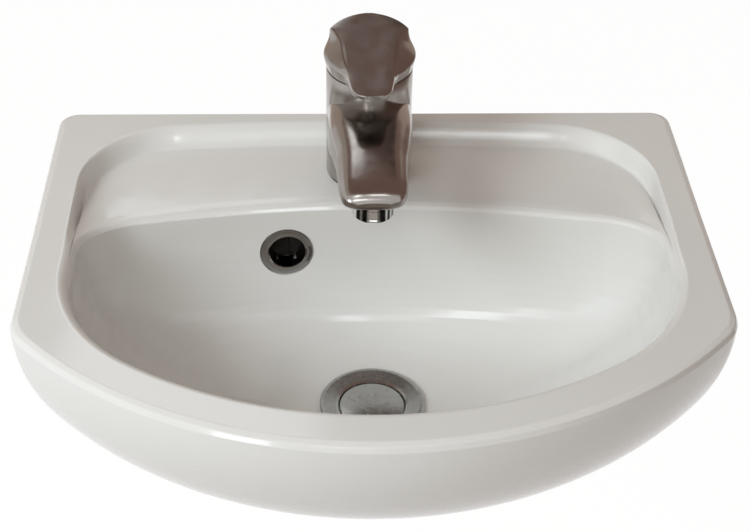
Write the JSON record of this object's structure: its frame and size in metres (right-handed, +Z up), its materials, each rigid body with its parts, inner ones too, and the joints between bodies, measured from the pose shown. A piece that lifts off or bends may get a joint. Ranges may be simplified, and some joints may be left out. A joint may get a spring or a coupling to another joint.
{
  "type": "wall-hung washbasin",
  "caption": "Small wall-hung ceramic washbasin with a tap deck, a single-lever mixer, an overflow and a click waste.",
  "frame": {"origin": "in the wall plane, midway between the two wall fixings", "axes": "+X to the right as seen from the front, +Y into the wall, +Z up; the bowl reaches out along -Y"},
  "size_m": [0.4, 0.32, 0.2618],
  "materials": {
    "glazed_ceramic": "glossy white glaze",
    "chrome": "polished, slightly satin",
    "brass": "machined",
    "rubber": "matte",
    "plastic": "moulded",
    "steel": "machined",
    "disc_ceramic": "lapped"
  },
  "bodies": {
    "washbasin": {"basin": "glazed_ceramic", "overflow_ring": "chrome", "mixer_body": "chrome", "base_gasket": "rubber", "cartridge_housing": "plastic", "cartridge_seals": "rubber", "disc_lower": "disc_ceramic", "cartridge_nut": "brass", "cartridge_cover": "chrome", "aerator_housing": "chrome", "aerator_gasket": "rubber", "aerator_insert": "plastic", "mounting_stud": "steel", "horseshoe_gasket": "rubber", "horseshoe_washer": "steel", "mounting_nut": "brass", "waste_body": "chrome", "flange_seal": "rubber", "lower_gasket": "rubber", "waste_washer": "plastic", "backnut": "brass", "latch_sleeve": "plastic", "plug_spring": "steel"},
    "carrier": {"stem_carrier": "plastic", "stem_pin": "steel"},
    "lever": {"lever_handle": "chrome", "cartridge_stem": "steel", "handle_screw": "steel"},
    "slider": {"disc_driver": "plastic", "disc_upper": "disc_ceramic"},
    "plug": {"waste_plug": "chrome", "plug_seal": "rubber", "plug_spindle": "steel"}
  },
  "joints": [
    {"name": "handle_turn", "type": "hinge", "parent": "washbasin", "child": "carrier", "pos_m": [0, -0.05, 0.126], "axis": [0, 0, 1], "range_deg": [-50, 50]},
    {"name": "handle_lift", "type": "hinge", "parent": "carrier", "child": "lever", "pos_m": [0, -0.05, 0.126], "axis": [-1, 0, 0], "range_deg": [0, 25]},
    {"name": "disc_slide", "type": "slide", "parent": "carrier", "child": "slider", "axis": [0, -1, 0], "range_m": [0, 0.00305]},
    {"name": "plug_lift", "type": "slide", "parent": "washbasin", "child": "plug", "axis": [0, 0, 1], "range_m": [0, 0.009], "deforming": ["plug_spring"]}
  ],
  "couplings": [
    {"joint": "disc_slide", "follows": "handle_lift", "m_per_rad": 0.00694}
  ]
}
